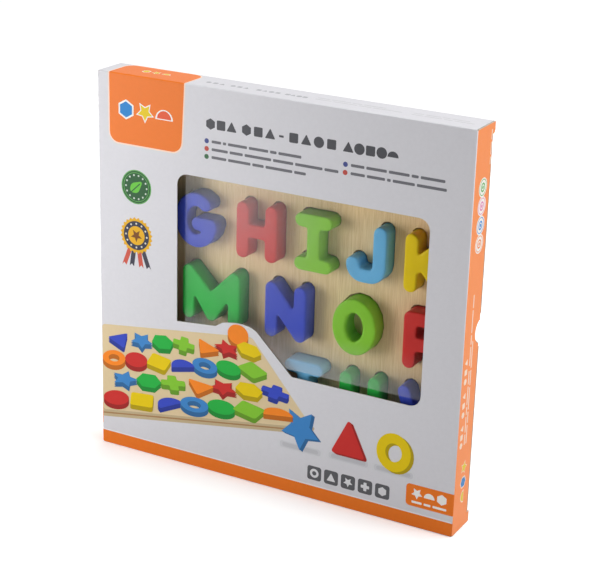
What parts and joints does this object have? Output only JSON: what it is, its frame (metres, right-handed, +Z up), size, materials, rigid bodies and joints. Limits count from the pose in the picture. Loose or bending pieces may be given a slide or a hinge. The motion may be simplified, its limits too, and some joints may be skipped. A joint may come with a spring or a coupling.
{
  "type": "alphabet inset puzzle",
  "caption": "Wooden alphabet inset puzzle with chunky lift-out letters, packed in a square window carton with tuck-in end closures.",
  "frame": {"origin": "under the middle of the carton, on the face that it stands on", "axes": "+X to the right along the printed front, +Y from the front into the carton, +Z up"},
  "size_m": [0.31, 0.0306, 0.308],
  "materials": {
    "carton_print": "coated print, soft sheen",
    "carton_inside": "uncoated board",
    "closure_print": "coated print, soft sheen",
    "film": "clear film",
    "plywood": "sanded birch plywood",
    "plywood_back": "sanded birch plywood",
    "paint_red": "satin toy paint",
    "paint_light_green": "satin toy paint",
    "paint_light_blue": "satin toy paint",
    "paint_yellow": "satin toy paint",
    "paint_orange": "satin toy paint",
    "paint_green": "satin toy paint",
    "paint_blue": "satin toy paint"
  },
  "bodies": {
    "carton": {"front_panel": "carton_print", "top_panel": "carton_print", "back_panel": "carton_print", "bottom_panel": "carton_print", "glue_flap": "carton_inside", "window_film": "film"},
    "right_closure": {"right_closure_panel": "closure_print", "right_tuck_tab": "closure_print"},
    "right_top_dust_flap": {"right_top_dust_flap": "carton_inside"},
    "right_bottom_dust_flap": {"right_bottom_dust_flap": "carton_inside"},
    "left_closure": {"left_closure_panel": "closure_print", "left_tuck_tab": "closure_print"},
    "left_top_dust_flap": {"left_top_dust_flap": "carton_inside"},
    "left_bottom_dust_flap": {"left_bottom_dust_flap": "carton_inside"},
    "puzzle_board": {"base_plate": "plywood_back", "inset_plate": "plywood"},
    "letter_a": {"letter_a": "paint_red"},
    "letter_b": {"letter_b": "paint_light_green"},
    "letter_c": {"letter_c": "paint_light_blue"},
    "letter_d": {"letter_d": "paint_yellow"},
    "letter_e": {"letter_e": "paint_orange"},
    "letter_f": {"letter_f": "paint_green"},
    "letter_g": {"letter_g": "paint_blue"},
    "letter_h": {"letter_h": "paint_red"},
    "letter_i": {"letter_i": "paint_light_green"},
    "letter_j": {"letter_j": "paint_light_blue"},
    "letter_k": {"letter_k": "paint_yellow"},
    "letter_l": {"letter_l": "paint_orange"},
    "letter_m": {"letter_m": "paint_green"},
    "letter_n": {"letter_n": "paint_blue"},
    "letter_o": {"letter_o": "paint_light_green"},
    "letter_p": {"letter_p": "paint_red"},
    "letter_q": {"letter_q": "paint_light_blue"},
    "letter_r": {"letter_r": "paint_yellow"},
    "letter_s": {"letter_s": "paint_orange"},
    "letter_t": {"letter_t": "paint_light_blue"},
    "letter_u": {"letter_u": "paint_green"},
    "letter_v": {"letter_v": "paint_blue"},
    "letter_w": {"letter_w": "paint_red"},
    "letter_x": {"letter_x": "paint_light_green"},
    "letter_y": {"letter_y": "paint_yellow"},
    "letter_z": {"letter_z": "paint_orange"}
  },
  "joints": [
    {"name": "right_closure_hinge", "type": "hinge", "parent": "carton", "child": "right_closure", "pos_m": [0.155, -0.0153, 0.154], "axis": [0, 0, -1], "range_deg": [0, 150]},
    {"name": "right_top_dust_flap_hinge", "type": "hinge", "parent": "carton", "child": "right_top_dust_flap", "pos_m": [0.1539, 0, 0.308], "axis": [0, -1, 0], "range_deg": [0, 90]},
    {"name": "right_bottom_dust_flap_hinge", "type": "hinge", "parent": "carton", "child": "right_bottom_dust_flap", "pos_m": [0.1539, 0, 0], "axis": [0, 1, 0], "range_deg": [0, 90]},
    {"name": "left_closure_hinge", "type": "hinge", "parent": "carton", "child": "left_closure", "pos_m": [-0.155, -0.0153, 0.154], "axis": [0, 0, 1], "range_deg": [0, 150]},
    {"name": "left_top_dust_flap_hinge", "type": "hinge", "parent": "carton", "child": "left_top_dust_flap", "pos_m": [-0.1539, 0, 0.308], "axis": [0, 1, 0], "range_deg": [0, 90]},
    {"name": "left_bottom_dust_flap_hinge", "type": "hinge", "parent": "carton", "child": "left_bottom_dust_flap", "pos_m": [-0.1539, 0, 0], "axis": [0, -1, 0], "range_deg": [0, 90]},
    {"name": "board_slide", "type": "slide", "parent": "carton", "child": "puzzle_board", "axis": [1, 0, 0], "range_m": [-0.0043, 0.0013]},
    {"name": "letter_a_lift", "type": "slide", "parent": "puzzle_board", "child": "letter_a", "axis": [0, -1, 0], "range_m": [0, 0.0045]},
    {"name": "letter_b_lift", "type": "slide", "parent": "puzzle_board", "child": "letter_b", "axis": [0, -1, 0], "range_m": [0, 0.0045]},
    {"name": "letter_c_lift", "type": "slide", "parent": "puzzle_board", "child": "letter_c", "axis": [0, -1, 0], "range_m": [0, 0.0045]},
    {"name": "letter_d_lift", "type": "slide", "parent": "puzzle_board", "child": "letter_d", "axis": [0, -1, 0], "range_m": [0, 0.0045]},
    {"name": "letter_e_lift", "type": "slide", "parent": "puzzle_board", "child": "letter_e", "axis": [0, -1, 0], "range_m": [0, 0.0045]},
    {"name": "letter_f_lift", "type": "slide", "parent": "puzzle_board", "child": "letter_f", "axis": [0, -1, 0], "range_m": [0, 0.0045]},
    {"name": "letter_g_lift", "type": "slide", "parent": "puzzle_board", "child": "letter_g", "axis": [0, -1, 0], "range_m": [0, 0.0045]},
    {"name": "letter_h_lift", "type": "slide", "parent": "puzzle_board", "child": "letter_h", "axis": [0, -1, 0], "range_m": [0, 0.0045]},
    {"name": "letter_i_lift", "type": "slide", "parent": "puzzle_board", "child": "letter_i", "axis": [0, -1, 0], "range_m": [0, 0.0045]},
    {"name": "letter_j_lift", "type": "slide", "parent": "puzzle_board", "child": "letter_j", "axis": [0, -1, 0], "range_m": [0, 0.0045]},
    {"name": "letter_k_lift", "type": "slide", "parent": "puzzle_board", "child": "letter_k", "axis": [0, -1, 0], "range_m": [0, 0.0045]},
    {"name": "letter_l_lift", "type": "slide", "parent": "puzzle_board", "child": "letter_l", "axis": [0, -1, 0], "range_m": [0, 0.0045]},
    {"name": "letter_m_lift", "type": "slide", "parent": "puzzle_board", "child": "letter_m", "axis": [0, -1, 0], "range_m": [0, 0.0045]},
    {"name": "letter_n_lift", "type": "slide", "parent": "puzzle_board", "child": "letter_n", "axis": [0, -1, 0], "range_m": [0, 0.0045]},
    {"name": "letter_o_lift", "type": "slide", "parent": "puzzle_board", "child": "letter_o", "axis": [0, -1, 0], "range_m": [0, 0.0045]},
    {"name": "letter_p_lift", "type": "slide", "parent": "puzzle_board", "child": "letter_p", "axis": [0, -1, 0], "range_m": [0, 0.0045]},
    {"name": "letter_q_lift", "type": "slide", "parent": "puzzle_board", "child": "letter_q", "axis": [0, -1, 0], "range_m": [0, 0.0045]},
    {"name": "letter_r_lift", "type": "slide", "parent": "puzzle_board", "child": "letter_r", "axis": [0, -1, 0], "range_m": [0, 0.0045]},
    {"name": "letter_s_lift", "type": "slide", "parent": "puzzle_board", "child": "letter_s", "axis": [0, -1, 0], "range_m": [0, 0.0045]},
    {"name": "letter_t_lift", "type": "slide", "parent": "puzzle_board", "child": "letter_t", "axis": [0, -1, 0], "range_m": [0, 0.0045]},
    {"name": "letter_u_lift", "type": "slide", "parent": "puzzle_board", "child": "letter_u", "axis": [0, -1, 0], "range_m": [0, 0.0045]},
    {"name": "letter_v_lift", "type": "slide", "parent": "puzzle_board", "child": "letter_v", "axis": [0, -1, 0], "range_m": [0, 0.0045]},
    {"name": "letter_w_lift", "type": "slide", "parent": "puzzle_board", "child": "letter_w", "axis": [0, -1, 0], "range_m": [0, 0.0045]},
    {"name": "letter_x_lift", "type": "slide", "parent": "puzzle_board", "child": "letter_x", "axis": [0, -1, 0], "range_m": [0, 0.0045]},
    {"name": "letter_y_lift", "type": "slide", "parent": "puzzle_board", "child": "letter_y", "axis": [0, -1, 0], "range_m": [0, 0.0045]},
    {"name": "letter_z_lift", "type": "slide", "parent": "puzzle_board", "child": "letter_z", "axis": [0, -1, 0], "range_m": [0, 0.0045]}
  ],
  "couplings": [
    {"joint": "right_top_dust_flap_hinge", "follows": "right_closure_hinge", "ratio": 0.5},
    {"joint": "right_bottom_dust_flap_hinge", "follows": "right_closure_hinge", "ratio": 0.5},
    {"joint": "left_top_dust_flap_hinge", "follows": "left_closure_hinge", "ratio": 0.5},
    {"joint": "left_bottom_dust_flap_hinge", "follows": "left_closure_hinge", "ratio": 0.5}
  ]
}
